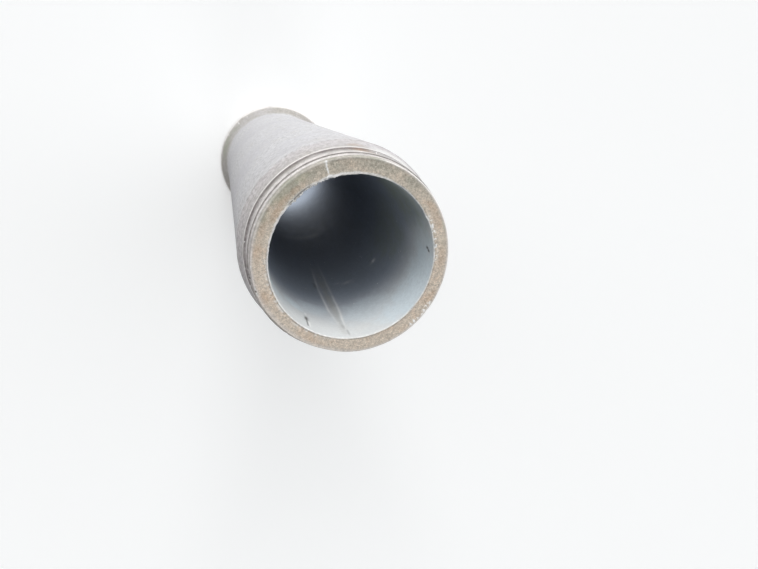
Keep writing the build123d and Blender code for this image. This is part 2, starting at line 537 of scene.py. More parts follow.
# Marks that time left, by kind. Each is its turn in degrees, its radius, its distance below the spigot's
# face, its reach round the pipe and across it, in millimetres, and its strength.
MARKS = {
    # The two algae marks at radius 385, on the bell, also paint the shade there.
    "moss": ((301, 307, 0, 32, 13, 0.38), (314, 303, 0, 34, 13, 0.32), (319, 312, 0, 26, 12, 0.36),
             (309, 317, 0, 34, 9, 0.40), (266, 320, 2, 46, 7, 0.26), (258, 319, 2, 40, 7, 0.24),
             (330, 309, 0, 26, 12, 0.25), (187, 300, 0, 30, 16, 0.15), (203, BORE_WALL, 70, 90, 70, 0.26),
             (218, BORE_WALL, 120, 90, 80, 0.28), (222, BORE_WALL, 220, 170, 260, 0.60),
             (172, BORE_WALL, 520, 150, 260, 0.40), (196, 314, 0, 22, 8, 0.35),
             (338, 385, 2430, 95, 45, 0.50), (318, 385, 2430, 60, 40, 0.30)),
    "rust": ((316, 290, 0, 30, 12, 0.40), (326, 285, 0, 30, 12, 0.40), (338, 300, 0, 44, 13, 0.28),
             (308, 288, 0, 22, 9, 0.34), (20, 303, 0, 30, 15, 0.25), (262, 334, 99, 46, 10, 0.50),
             (256, 331, 90, 34, 14, 0.42), (263, 345, 132, 34, 14, 0.25), (352, 300, 0, 60, 14, 0.22),
             (178, 296, 0, 60, 13, 0.26), (150, 300, 0, 40, 12, 0.22), (60, 300, 0, 60, 14, 0.15),
             (205, 296, 0, 70, 12, 0.20)),
    "lime": ((285.3, 272, 0, 12, 7, 1.0), (290, 268.5, 1, 14, 4, 0.9), (280.5, 269, 1, 12, 4.5, 0.8),
             (284.6, 318, 0, 4, 6, 0.8), (316, 269, 1, 16, 4, 0.7), (306, 268, 1, 14, 4, 0.7),
             (57.2, BORE_WALL, 140, 6, 12, 0.6), (57.6, BORE_WALL, 60, 4, 30, 0.8),
             (311, 388, 2452, 6, 30, 0.65), (327, 394, 2466, 6, 18, 0.40), (300, 390, 2455, 6, 16, 0.35),
             (27, 268.5, 0, 8, 5, 0.9), (238, 340, 125, 110, 34, 0.55), (250, 334, 112, 60, 8, 0.5)),
    # The dark marks at turns 56, 179 and 181 on the bore's wall and at turns 2 to 14 on the nose paint shade
    # into the nicks and air holes there; the others are stains.
    "grime": ((86.6, BORE_WALL, 45, 4, 26, 0.30), (84.9, BORE_WALL, 95, 7, 20, 0.22),
              (78.4, BORE_WALL, 520, 10, 40, 0.35), (56.3, BORE_WALL, 100, 8, 15, 1.0),
              (180.6, BORE_WALL, 62, 5, 13, 1.0), (179.0, BORE_WALL, 50, 4, 11, 0.9),
              (2, 328.5, 39, 6, 5, 1.0), (5.5, 329, 39, 6, 5, 1.0), (7.7, 327, 38, 6, 5, 1.0),
              (10, 324.8, 25, 5, 8, 0.9), (13.8, 320, 2, 5, 5, 0.8)),
    # Painted light: bluish white pools on the bore's lower side near its mouth.
    "milky": ((152, BORE_WALL, 80, 230, 130, 0.9), (110, BORE_WALL, 190, 150, 120, 0.5),
              (48, BORE_WALL, 185, 50, 50, 0.6), (66, BORE_WALL, 230, 70, 60, 0.45),
              (20, BORE_WALL, 110, 110, 60, 0.45)),
    "silt": ((262, 318, 6, 34, 6, 0.35),),
}

# Streaks on the bore's wall, by kind. Each is the turn and the distance below the spigot's face where it
# starts, the same where it ends, its width, in degrees and millimetres, and its strength at either end.
STREAKS = {
    "lime": ((92.2, 880, 89.9, 528, 4.5, 0.0, 0.30), (89.9, 528, 88.6, 260, 4.5, 0.30, 0.60),
             (88.6, 260, 87.3, 160, 4.5, 0.60, 0.85), (87.3, 160, 86.2, 70, 4.0, 0.85, 0.10),
             (84.0, 800, 80.0, 500, 4.5, 0.0, 0.60), (80.0, 500, 79.8, 240, 4.5, 0.60, 0.65),
             (79.8, 240, 82.4, 110, 4.5, 0.65, 0.20), (97.0, 530, 112.0, 496, 8, 0.10, 0.50),
             (131.8, 520, 137.0, 524, 5, 0.30, 1.0), (138.0, 528, 143.0, 537, 5, 1.0, 0.60),
             (88.0, 1330, 106.0, 1322, 15, 0.30, 1.0), (106.0, 1322, 131.0, 1318, 14, 1.0, 0.40),
             (66.0, 1303, 92.0, 1330, 30, 0.20, 0.50), (62.0, 1460, 116.0, 1430, 60, 0.10, 0.30)),
    "silt": ((87.0, 860, 85.2, 450, 21, 0.0, 0.60), (85.2, 450, 84.4, 200, 17, 0.60, 0.70),
             (84.4, 200, 84.0, 40, 14, 0.70, 0.30)),
    # The dark streaks at turns 56 and 179 to 181 paint shade along the nicks in the bore's wall; the first
    # two are stains.
    "grime": ((84.9, 300, 87.0, 760, 8, 0.15, 0.0), (82.8, 330, 83.4, 420, 5, 0.15, 0.10),
              (56.7, 113, 56.2, 88, 6.5, 1.0, 1.0), (56.1, 88, 55.8, 38, 3.4, 1.0, 0.8),
              (181.0, 65, 178.7, 46, 4.5, 1.0, 1.0)),
}

# Scuffs of the barrel's outside, from rolling and sliding, written as the streaks are.
SCUFFS = {
    "lime": ((150, 640, 157, 1010, 11, 0.08, 0.61), (118, 1540, 139, 1590, 16, 0.64, 0.08),
             (214, 1130, 221, 1400, 10, 0.58, 0.08), (62, 360, 73, 640, 13, 0.48, 0.08),
             (186, 1880, 199, 1900, 19, 0.48, 0.16), (88, 980, 92, 1260, 8, 0.16, 0.51)),
    "grime": ((178, 1820, 204, 1846, 14, 0.42, 0.08), (95, 1020, 132, 1000, 21, 0.29, 0.06),
              (38, 2010, 61, 2030, 14, 0.35, 0.08), (227, 560, 236, 800, 11, 0.06, 0.35),
              (164, 380, 171, 396, 19, 0.40, 0.16)),
    "rust": ((169, 1290, 185, 1304, 19, 0.40, 0.10), (74, 1720, 79, 1760, 14, 0.35, 0.13)),
}


def base_finishes(p, s):
    """Shares of the finishes over whole regions: the bore, darkened down its length by painted shade that
    starts nearer the mouth on its upper side; the end faces, the header band, the olive cast of the weathered
    side and the soil on the side that lay underneath, which the casting and the yard gave; and the pale and
    dark bands of the joint, partly their own colours, partly a painted highlight on the seat and the nose's
    rounding and painted shade in the shoulder's corner."""
    inside = smooth(s.bore_radius + 0.0045, s.bore_radius + 0.0015, p.radius + 0.0015 * p.fine)
    outside = 1 - inside
    header = smooth(s.barrel_top - 0.007, s.barrel_top + 0.007, p.height + 0.012 * p.mottle)
    faint = smooth(s.barrel_top - 0.22, s.barrel_top - 0.02, p.height + 0.05 * p.cloud)
    header = np.maximum(header, 0.30 * faint)
    bell_cone = smooth(0.215, 0.150, p.height + 0.010 * p.mottle)
    bell_cone = bell_cone * smooth(s.bell_ring, s.bell_ring + 0.012, p.height)
    bell_cone = bell_cone * smooth(s.bore_radius + 0.02, s.bore_radius + 0.04, p.radius)

    # The face's colour creeps up the nose's side over a pale land and thins near its outer edge: partly their
    # own colours, partly painted highlight and shade across the rounded edge.
    nose_face = smooth(s.seat_top + 0.012, s.length - 0.004, p.height)
    outer = smooth(s.face_edge, s.face_edge - 0.014 - 0.012 * p.dragged, p.radius + 0.002 * p.mottle)
    above_step = smooth(s.seat_top - 0.001, s.seat_top + 0.004, p.height)
    nose_face = np.maximum(nose_face * (0.30 + 0.70 * outer), 0.75 * p.dragged * above_step)
    bell_face = smooth(0.012, 0.004, p.height)
    socket = smooth(s.socket_depth + 0.03, s.socket_depth - 0.01, p.height) * (p.inward > -0.2)
    face = np.maximum(nose_face, np.maximum(bell_face, 0.55 * socket))

    # Pale bands of the seat and of the nose's land: partly their own colour, partly a painted highlight.
    seat = smooth(s.shoulder + 0.010, s.seat_top - 0.022, p.height) * (p.height < s.seat_top + 0.0002)
    land = smooth(s.seat_top + 0.030, s.seat_top + 0.008, p.height) * (p.height >= s.seat_top - 0.0002)
    land = land * (p.radius < s.seat_radius - 0.002) * (1 - 0.85 * p.dragged)
    cream = np.maximum(0.95 * seat, land) * smooth(-0.9, 0.2, p.mottle)
    # A dark mark in the shoulder's corner: partly a gasket mark, partly painted shade.
    above = p.height - s.shoulder
    gasket = np.exp(-np.maximum(above - 0.001, 0) / 0.003) * smooth(-0.003, -0.001, above)
    gasket = gasket * smooth(s.shoulder_edge, s.shoulder_edge - 0.0025, p.radius)

    from_top = away(p.turn, TOP_TURN)
    aged = smooth(95, 25, from_top + 22 * p.cloud) * (0.94 + 0.6 * p.mottle)
    aged = aged * smooth(s.barrel_top, s.length - 0.03, p.height) * (1 - 0.9 * cream)
    aged = aged * (0.55 + 0.45 * smooth(0.280, 0.302, p.radius))
    belly = smooth(95, 150, from_top + 26 * p.cloud) * smooth(-0.45, 0.55, p.cloud + 0.5 * p.mottle)
    # Painted shade down the bore: it darkens with depth, and sooner on the upper side, away from the bottom
    # turn.
    upper = smooth(85, 125, away(p.turn, BOTTOM_TURN))
    deep = inside * smooth(0.05, 0.40, p.drop + 0.36 * upper)
    return {"inside": inside, "deep": deep, "face": face * outside, "belly": belly * outside,
            "header": np.maximum(header, bell_cone) * outside,
            "aged": np.maximum(aged, 0.60 * bell_cone) * outside,
            "cream": cream * outside, "gasket": gasket * outside * smooth(-1.3, 0.2, p.mottle)}


def marks_and_streaks(p, s):
    """Shares of algae, rust, lime, a dark colour, the bore's painted pool of light and silt: spots and
    streaks with borders that a noise breaks up, the white drip across the face, and the pale wash and dark
    line at the header's foot. Some of the algae and dark marks are painted shade."""
    kinds = {kind: np.zeros_like(p.radius) for kind in MARKS}
    inside = smooth(s.bore_radius + 0.003, s.bore_radius + 0.001, p.radius)
    outside = 1 - inside

    def lay(kind, share):
        kinds[kind] = np.maximum(kinds[kind], share)

    for kind, marks in MARKS.items():
        for turn, radius, *lengths, strength in marks:
            mark = strength * smooth(0.18, 0.85, spot(p, turn, radius, *lengths) + 0.28 * p.mottle)
            lay(kind, mark * inside if radius == BORE_WALL else mark)
    broken = smooth(-1.3, 0.1, 0.6 * p.cloud + p.mottle)
    for streaks, radius, where in ((STREAKS, s.bore_radius, inside), (SCUFFS, s.barrel_radius, outside)):
        for kind, lines in streaks.items():
            for line in lines:
                lay(kind, streak(p, radius, *line) * where * broken)

    bend = 0.5 * smooth(0.30, 0.27, p.radius)
    arc = p.radius * np.radians(turn_gap(p.turn, 284.8 + bend) - 0.8 * p.mottle)
    width = 0.0020 + 0.0034 * p.fine + 0.007 * smooth(0.282, 0.271, p.radius)
    width = np.maximum(width + 0.0025 * smooth(0.314, 0.319, p.radius), 0.0009)
    drip = fade(arc, width) * smooth(0.324, 0.318, p.radius) * smooth(0.012, 0.004, p.drop)
    lay("lime", drip * outside * (0.78 + 0.3 * p.fine))
    wash = plateau(p.height, s.barrel_top - 0.090, s.barrel_top - 0.012, s.barrel_top - 0.006, s.barrel_top)
    lay("lime", 0.22 * wash * outside * smooth(-0.7, 0.4, p.mottle))
    line = fade(p.height - s.barrel_top - 0.001, 0.0022) * outside
    lay("grime", 0.20 * line * smooth(-0.8, 0.1, p.mottle))
    return kinds


def worn_and_highlit_edges(p, s):
    """Share of pale edges: concrete rubbed on the dragged side, and painted highlights on the nose's outer
    edge, along the shoulder and on the bell's rim."""
    # Painted highlight on the nose's outer rounding, weaker on the side that took the rain.
    worn = fade(p.radius - s.face_edge + 0.004, 0.0035) * fade(p.drop - 0.0022, 0.005)
    worn = worn * (0.46 - 0.28 * p.rain_side)
    rubbed = smooth(s.face_edge - 0.016, s.face_edge - 0.006, p.radius)
    rubbed = rubbed * smooth(s.seat_top + 0.010, s.seat_top + 0.025, p.height)
    worn = np.maximum(worn, 0.25 * p.dragged * rubbed)
    # Painted highlight along the nose's outer edge on the -X side.
    outline_highlight = fade(p.radius - s.face_edge + 0.0012, 0.0022) * smooth(0.009, 0.006, p.drop)
    worn = np.maximum(worn, 1.15 * outline_highlight * plateau(p.turn, 118, 135, 245, 262))
    # Painted highlight along the shoulder's edge.
    past = np.maximum(s.shoulder_edge - 0.0008 - p.radius, 0)
    below = np.maximum(s.shoulder - p.height, 0)
    shoulder_highlight = fade(past, 0.0014) * fade(below, 0.006) * (p.height < s.shoulder + 0.002)
    worn = np.maximum(worn, shoulder_highlight * (1.3 - 0.35 * smooth(40, 12, away(p.turn, 272))))
    # Painted highlight along the bell's rim.
    rim = fade(np.maximum(p.height - s.bell_ring - 0.004, 0), 0.018)
    rim = rim * (p.radius > s.bell_radius - 0.02) * (p.height > 0.02)
    return np.maximum(worn, 1.2 * rim) * smooth(-0.9, 0.1, p.mottle)


def broken_edges(p, s):
    """Share of broken whitish concrete, in chips and along the bore's ragged rim, and share of white crumbs
    on the spigot's face."""
    band = 0.0045 + 0.0030 * p.rain_side + 0.0022 * p.fine + 0.0016 * p.mottle
    rim = smooth(1.25, 0.75, (p.radius - s.bore_radius - 0.001) / band) * smooth(0.007, 0.003, p.drop)
    near_side = np.maximum(p.rain_side, smooth(80, 45, away(p.turn, 30)))
    rim = rim * (0.50 + 0.35 * near_side) * smooth(-1.0, -0.3, p.mottle + 0.4 * p.fine)
    fresh = np.maximum(smooth(0.0002, 0.0010, p.chipped), rim)
    fresh = np.maximum(fresh, 0.85 * smooth(0.0008, 0.0030, p.lip))

    inner = np.maximum(smooth(24, 9, away(p.turn, 191)), 0.5 * smooth(60, 20, away(p.turn, 30)))
    inner = inner * smooth(0.018, 0.008, p.radius - s.bore_radius)
    outer = smooth(13, 7, away(p.turn, 137)) * smooth(0.009, 0.003, np.abs(p.radius - CRUMB_RADIUS))
    crumbs = np.maximum(inner, outer) * smooth(0.05, 0.17, fractal(p.points, 0.0070, 2, 61))
    return fresh, crumbs * smooth(0.006, 0.001, p.drop)


def dirt_and_shade(p, s):
    """Share of a dark colour: painted shade in pits and at the gasket step, and two dark lines round the face
    and one in its crack.
    """
    on_face = smooth(0.004, 0.001, p.drop)
    # Painted shade: a dark line at the gasket step, where the nose steps in.
    step = fade(p.height - s.seat_top, 0.0022)
    step = step * smooth(s.seat_radius - 0.006, s.seat_radius - 0.0030, p.radius)
    step = (0.95 - 0.4 * p.dragged) * step * smooth(-1.0, 0.0, p.mottle)
    trowel_line = fade(p.radius - TROWEL_RADIUS, 0.0022) * on_face * (0.3 + 0.7 * p.rain_side)
    trowel_line = 0.32 * trowel_line * smooth(-0.7, 0.2, p.cloud)
    inner_line = fade(p.radius - s.bore_radius - 0.0062, 0.0019) * on_face * (1 - p.rain_side)
    inner_line = inner_line * (0.40 + 0.32 * smooth(78, 50, away(p.turn, 60))) * smooth(-0.8, 0.0, p.mottle)
    crack = fade(p.radius - CRACK_RADIUS - 0.0020 * p.mottle, 0.0022) * on_face
    crack = 0.95 * crack * plateau(p.turn, 296, 301, 314, 320) * smooth(-0.5, 0.1, p.fine + p.mottle)
    # Painted shade in the pits, darker the deeper they are.
    grime = smooth(0.0008, 0.0022, p.pitted)
    for share in (step, trowel_line, inner_line, crack):
        grime = np.maximum(grime, share)
    return grime


def weather(p, s):
    """Every finish's share at every point, from 0 to 1."""
    kinds = marks_and_streaks(p, s)
    fresh, crumbs = broken_edges(p, s)
    kinds["grime"] = np.maximum(kinds["grime"], dirt_and_shade(p, s))
    kinds["lime"] = np.maximum(kinds["lime"], crumbs)
    return {**base_finishes(p, s), **kinds, "worn": worn_and_highlit_edges(p, s), "fresh": fresh}


def wall_piece(name, first, last, columns, chips=(), pits=()):
    """Carries the section's rows between two marks round the axis, roughens, chips and pits the surface,
    stores the finishes as attributes and unrolls a UV map: turn across, distance along the section up."""
    scene = bpy.context.scene
    s, w = scene.pipe_sizes, scene.pipe_wear
    rows, sides, marks = wall_section(s)
    start, stop = marks[first], marks[last]
    if stop <= start:
        stop += len(rows)
    picked = np.arange(start, stop + 1) % len(rows)
    rows, sides = rows[picked], sides[picked]
    run = np.concatenate([[0.0], np.cumsum(np.linalg.norm(np.diff(rows, axis=0), axis=1))])
    angle = np.arange(columns) * 2 * math.pi / columns
    out = np.stack([np.cos(angle), np.sin(angle), np.zeros(columns)], axis=1)
    turn = np.broadcast_to(np.degrees(angle), (len(rows), columns))
    radius = np.broadcast_to(rows[:, :1], turn.shape)
    level = np.broadcast_to(rows[:, 1:], turn.shape)

    lip = burr(turn, rows, s, w)
    reach = radius + out_of_round(turn, level, s, w) - lip - rubbed_nose(turn, rows, s, w)
    points = reach[..., None] * out + level[..., None] * UP
    normals = sides[:, :1, None] * out + sides[:, 1:, None] * UP
    height = points[..., 2].copy()
    sink = w.unevenness * (1.0 + fractal(points, 0.22, 2, 3))
    sink = sink + w.relief * (0.8 + 0.8 * fractal(points, 0.011, 3, 4))
    sink = sink * smooth(-0.001, 0.004, height) + LEAST_SINK
    points = points - normals * sink[..., None]
    chipped, pitted = scoop(points, normals, chips), scoop(points, normals, pits)
    patch = SimpleNamespace(
        points=points, turn=turn, radius=radius, height=height, drop=s.length - height,
        inward=-np.broadcast_to(sides[:, :1], turn.shape), lip=lip, chipped=chipped, pitted=pitted,
        cloud=fractal(points, 0.16, 3, 31), mottle=fractal(points, 0.035, 3, 32),
        fine=fractal(points, 0.008, 2, 33), dragged=plateau(turn, *DRAGGED),
        rain_side=smooth(80, 20, away(turn, RAIN_TURN)))
    finishes = weather(patch, s)

    # On the border with a coarser piece every second point lies halfway between its neighbours.
    if columns == s.fine_columns:
        for row, mark in ((0, first), (-1, last)):
            if mark != "nose":
                even = points[row, 0::2]
                points[row, 1::2] = (even + np.roll(even, -1, axis=0)) / 2
    obj = grid_object(name, points, run, finishes)
    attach(obj, BODY)
    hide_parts(CAD_NODE)
    obj.data.materials.append(concrete_material())


def grid_object(name, points, run, finishes):
    """A mesh of the grid's four-sided faces, closed round the axis, with its attributes and UV map."""
    rows, columns = points.shape[:2]
    mesh = bpy.data.meshes.new(name)
    mesh.vertices.add(rows * columns)
    mesh.vertices.foreach_set("co", points.astype(np.float32).ravel())
    i, j = np.meshgrid(np.arange(rows - 1), np.arange(columns), indexing="ij")
    after = (j + 1) % columns
    faces = np.stack([i * columns + j, i * columns + after, (i + 1) * columns + after, (i + 1) * columns + j],
                     axis=-1)
    count = (rows - 1) * columns
    mesh.loops.add(count * 4)
    mesh.loops.foreach_set("vertex_index", faces.astype(np.int32).ravel())
    mesh.polygons.add(count)
    mesh.polygons.foreach_set("loop_start", np.arange(0, count * 4, 4, dtype=np.int32))
    mesh.polygons.foreach_set("use_smooth", np.ones(count, dtype=bool))
    across = np.stack([j, j + 1, j + 1, j], axis=-1) / columns
    along = np.stack([run[i], run[i], run[i + 1], run[i + 1]], axis=-1) / run[-1]
    layer = mesh.uv_layers.new(name="unrolled")
    layer.data.foreach_set("uv", np.stack([across, along], axis=-1).astype(np.float32).ravel())
    for finish, share in finishes.items():
        attribute = mesh.attributes.new(finish, "FLOAT", "POINT")
        attribute.data.foreach_set("value", np.clip(share, 0, 1).astype(np.float32).ravel())
    mesh.update(calc_edges=True)
    mesh.validate()
    obj = bpy.data.objects.new(name, mesh)
    bpy.context.scene.collection.objects.link(obj)
    return obj


# A mix node's colour sockets share their names with its other sockets, so they go by number.
MIX_SHARE, MIX_BASE, MIX_LAID, MIX_RESULT = 0, 6, 7, 2


class Shading:
    """Short calls that add nodes to a material or a world and link them."""

    def __init__(self, owner):
        owner.use_nodes = True
        self.tree = owner.node_tree
        self.tree.nodes.clear()
        self.coordinates = self.node("TexCoord").outputs
        self.place = self.coordinates["Object"]

    def node(self, kind, inputs=None, **settings):
        """A node with its own settings, and with a value or a link for each named or numbered input."""
        node = self.tree.nodes.new("ShaderNode" + kind)
        for name, value in settings.items():
            setattr(node, name, value)
        for name, value in (inputs or {}).items():
            socket = node.inputs[name]
            if isinstance(value, bpy.types.NodeSocket):
                self.tree.links.new(value, socket)
            elif socket.type == "RGBA":
                socket.default_value = (*value, 1.0)
            else:
                socket.default_value = value
        return node

    def share(self, name, strength=None):
        """The value of one of the piece's own attributes, times a strength."""
        value = self.node("Attribute", attribute_name=name).outputs["Fac"]
        return self.times(value, strength) if strength else value

    def noise(self, scale, detail=2.0, rough=0.5, vector=None, distortion=0.0):
        """Noise from 0 to 1, with scale in turns a metre."""
        inputs = {"Vector": vector or self.place, "Scale": scale, "Detail": detail, "Roughness": rough,
                  "Distortion": distortion}
        return self.node("TexNoise", inputs).outputs["Fac"]

    def rings(self, across, up, detail, rough):
        """Noise drawn out into rings, with its turns a metre across the axis and up it."""
        stretched = self.node("Mapping", {"Scale": (across, across, up), "Vector": self.place})
        return self.noise(1.0, detail, rough, stretched.outputs["Vector"])

    def cells(self, scale, output="Distance"):
        """Distance to, or colour of, the nearest of many scattered points."""
        return self.node("TexVoronoi", {"Vector": self.place, "Scale": scale}).outputs[output]

    def times(self, a, b):
        return self.node("Math", {0: a, 1: b}, operation="MULTIPLY").outputs[0]

    def plus(self, a, b):
        return self.node("Math", {0: a, 1: b}, operation="ADD").outputs[0]

    def minus(self, a, b):
        return self.node("Math", {0: a, 1: b}, operation="SUBTRACT").outputs[0]

    def rise(self, value, low, high, to_low=0.0, to_high=1.0):
        """Eased step from to_low at low to to_high at high."""
        inputs = {"Value": value, "From Min": low, "From Max": high, "To Min": to_low, "To Max": to_high}
        return self.node("MapRange", inputs, interpolation_type="SMOOTHSTEP").outputs["Result"]

    def dots(self, scale, full, none):
        """Small round dots: 1 within one distance of scattered points, 0 past another."""
        return self.rise(self.cells(scale), full, none, 1.0, 0.0)

    def over(self, base, share, laid, blend="MIX"):
        """A base colour with a share of another colour laid over it."""
        inputs = {MIX_SHARE: share, MIX_BASE: base, MIX_LAID: laid}
        return self.node("Mix", inputs, data_type="RGBA", blend_type=blend).outputs[MIX_RESULT]

    def finish(self, output, shown, lit):
        """Ends the tree with one shader that the camera sees and one that lights the scene."""
        camera_ray = self.node("LightPath").outputs["Is Camera Ray"]
        choose = self.node("MixShader", {0: camera_ray, 1: lit.outputs[0], 2: shown.outputs[0]})
        self.node(output, {"Surface": choose.outputs[0]})


def base_colour(shade, c, rings):
    """The concrete's own colours and its painted light and shade in the bore and the joint, laid by the
    piece's attributes, then made uneven by dapples and rings.
    """
    inside = shade.share("inside")
    cloud = shade.noise(3.2, 3.0, 0.55)
    mottle = shade.noise(22.0, 4.0, 0.6)
    dapple = shade.noise(78.0, 3.0, 0.65)
    patches = shade.noise(15.0, 3.0, 0.6, distortion=0.4)

    base = shade.over(c.barrel, shade.share("header"), c.header)
    base = shade.over(base, shade.rise(cloud, 0.42, 0.66, 0.0, 0.45), c.lilac)
    base = shade.over(base, shade.rise(mottle, 0.45, 0.75, 0.0, 0.30), c.buff)
    base = shade.over(base, shade.rise(dapple, 0.50, 0.72, 0.0, 0.40), c.lilac)
    soiled = shade.times(shade.share("belly"), shade.rise(mottle, 0.35, 0.65, 0.18, 0.55))
    base = shade.over(base, soiled, c.soil)
    sandy = shade.over(c.face, shade.rise(patches, 0.46, 0.68, 0.0, 0.42), c.tan)
    base = shade.over(base, shade.share("face"), sandy)
    aged = shade.times(shade.share("aged"), shade.rise(patches, 0.35, 0.70, 0.95, 0.45))
    base = shade.over(base, aged, c.aged)
    # Painted shade: the bore darkens from its mouth down.
    bore = shade.over(c.bore_mouth, shade.share("deep"), c.bore)
    # A painted pool of light on the bore's lower side.
    bore = shade.over(bore, shade.share("milky"), c.milky)
    bore = shade.over(bore, shade.share("silt"), c.silt)
    base = shade.over(base, inside, bore)
    # Pale bands of the joint, partly a painted highlight.
    base = shade.over(base, shade.share("cream", 0.85), c.cream)
    # The mark in the shoulder's corner, partly painted shade.
    base = shade.over(base, shade.share("gasket", 0.80), c.gasket)

    dappled = shade.rise(dapple, 0.30, 0.70, -0.20, 0.13)
    dappled = shade.times(dappled, shade.rise(cloud, 0.36, 0.62, 1.25, 0.60))
    uneven = shade.plus(shade.rise(rings, 0.30, 0.70, -0.022, 0.022), dappled)
    uneven = shade.times(uneven, shade.minus(1.0, shade.times(inside, 0.75)))
    return shade.over(base, 1.0, shade.plus(uneven, 1.0), "MULTIPLY")


def grain_colour(shade, c, base):
    """Sand on the broken and trowelled ends, a faint grain elsewhere, small air holes and pale flecks."""
    face = shade.share("face")
    grain, coarse = shade.noise(330.0, 3.0, 0.6), shade.noise(150.0, 3.0, 0.7)
    spread = shade.plus(shade.times(face, 0.85), shade.minus(0.36, shade.share("inside", 0.22)))
    speckled = shade.times(shade.minus(shade.plus(grain, coarse), 1.0), spread)
    base = shade.over(base, 1.0, shade.plus(speckled, 1.0), "MULTIPLY")

    dark = shade.times(shade.dots(240.0, 0.10, 0.20), face)
    base = shade.over(base, shade.times(dark, 0.45), c.sand_dark)
    pale = shade.times(shade.rise(shade.cells(230.0, "Color"), 0.72, 0.88), face)
    base = shade.over(base, shade.times(pale, 0.45), c.sand_pale)

    # The small air holes are only a bump; their dark colour is painted shade.
    holes = shade.times(shade.dots(95.0, 0.05, 0.10), shade.rise(shade.noise(30.0), 0.52, 0.62))
    base = shade.over(base, shade.times(holes, 0.55), c.grime)
    flecks = shade.times(shade.dots(34.0, 0.06, 0.11), shade.rise(shade.noise(9.0), 0.50, 0.58))
    flecks = shade.times(flecks, shade.minus(0.7, shade.times(face, 0.7)))
    return shade.over(base, flecks, c.lime), grain, holes


def concrete_material():
    """Weathered concrete: its own colours and grain, with stains, rubbed and broken edges, lime and a dark
    colour over them, some of them painted light and shade, and a bump of sand, casting rings, small hollows
    and air holes."""
    name = "weathered_concrete"
    if name in bpy.data.materials:
        return bpy.data.materials[name]
    c = bpy.context.scene.pipe_colours
    material = bpy.data.materials.new(name)
    shade = Shading(material)
    rings = shade.rings(1.6, 95.0, 4.0, 0.62)
    base, grain, holes = grain_colour(shade, c, base_colour(shade, c, rings))

    uneven = shade.noise(24.0, 4.0, 0.6)
    broken = shade.rise(uneven, 0.32, 0.62, 0.55, 1.0)
    base = shade.over(base, shade.times(shade.share("rust"), broken), c.rust)
    # Algae, which on the bell is partly painted shade.
    base = shade.over(base, shade.times(shade.share("moss"), broken), c.moss)
    # Rubbed edges and painted edge highlights.
    base = shade.over(base, shade.share("worn", 0.88), c.worn)
    crumbs = shade.rise(shade.cells(170.0, "Color"), 0.2, 0.8, 0.84, 1.06)
    fresh = shade.over(c.fresh, 1.0, crumbs, "MULTIPLY")
    base = shade.over(base, shade.share("fresh", 0.9), fresh)
    base = shade.over(base, shade.share("lime"), c.lime)
    # A dark colour: stains, and painted shade in pits, nicks and at the gasket step.
    base = shade.over(base, shade.share("grime", 0.85), c.grime)

    inside = shade.share("inside")
    fine_rings = shade.rings(4.0, 420.0, 3.0, 0.6)
    ringed = shade.plus(shade.times(rings, 0.5), shade.times(fine_rings, 0.2))
    ringed = shade.times(ringed, shade.minus(1.0, shade.times(inside, 0.6)))
    hollows = shade.noise(85.0, 3.0, 0.55)
    hollows = shade.times(hollows, shade.minus(1.5, shade.times(inside, 1.2)))
    height = shade.plus(shade.plus(shade.times(grain, 0.35), ringed), hollows)
    height = shade.minus(height, shade.times(holes, 1.2))
    bump = shade.node("Bump", {"Strength": 0.5, "Distance": 0.001, "Height": height})
    roughness = shade.minus(shade.rise(uneven, 0.3, 0.7, 0.84, 0.95), shade.times(inside, 0.2))
    surface = shade.node("BsdfPrincipled", {"Base Color": base, "Roughness": roughness,
                                            "Specular IOR Level": 0.35, "Normal": bump.outputs["Normal"]})
    shade.node("OutputMaterial", {"Surface": surface.outputs["BSDF"]})
    return material


class PIPE_OT_barrel(bpy.types.Operator):
    """Build the barrel between the bell and the spigot"""
    bl_idname = "pipe.barrel"
    bl_label = "Barrel"

    def execute(self, context):
        wall_piece("barrel", "barrel foot", "header", context.scene.pipe_sizes.columns)
        return {"FINISHED"}


class PIPE_OT_spigot(bpy.types.Operator):
    """Build the spigot: cone, shoulder and gasket seat, then the nose with its face and ragged bore edge"""
    bl_idname = "pipe.spigot"
    bl_label = "Spigot"

    def execute(self, context):
        s, w = context.scene.pipe_sizes, context.scene.pipe_wear
        chips, pits = spigot_chips(s, w), spigot_pits(s, w)
        wall_piece("spigot_seat", "header", "nose", s.fine_columns, chips, pits)
        wall_piece("spigot_nose", "nose", "bore top", s.fine_columns, chips, pits)
        return {"FINISHED"}


class PIPE_OT_bore(bpy.types.Operator):
    """Build the smooth wall of the bore"""
    bl_idname = "pipe.bore"
    bl_label = "Bore"

    def execute(self, context):
        s, w = context.scene.pipe_sizes, context.scene.pipe_wear
        wall_piece("bore_wall", "bore top", "bore foot", s.columns, pits=spigot_pits(s, w))
        return {"FINISHED"}


class PIPE_OT_bell(bpy.types.Operator):
    """Build the bell: its face and socket below, and its ring and cone outside"""
    bl_idname = "pipe.bell"
    bl_label = "Bell"

    def execute(self, context):
        s, w = context.scene.pipe_sizes, context.scene.pipe_wear
        chips = bell_chips(s, w)
        wall_piece("bell_socket", "bore foot", "bell side", s.columns, chips)
        wall_piece("bell_outside", "bell side", "barrel foot", s.columns, chips)
        return {"FINISHED"}


# Half the floor's width, the grey that lights the pipe, and the glow that keeps it pale to the camera.
FLOOR_REACH, FLOOR_GREY, FLOOR_GLOW = 40.0, (0.42, 0.42, 0.415), 0.30
SKY_COLOUR, BACKDROP_COLOUR, LAMP_COLOUR = (0.96, 0.98, 1.0), (0.84, 0.84, 0.835), (0.94, 0.97, 1.0)
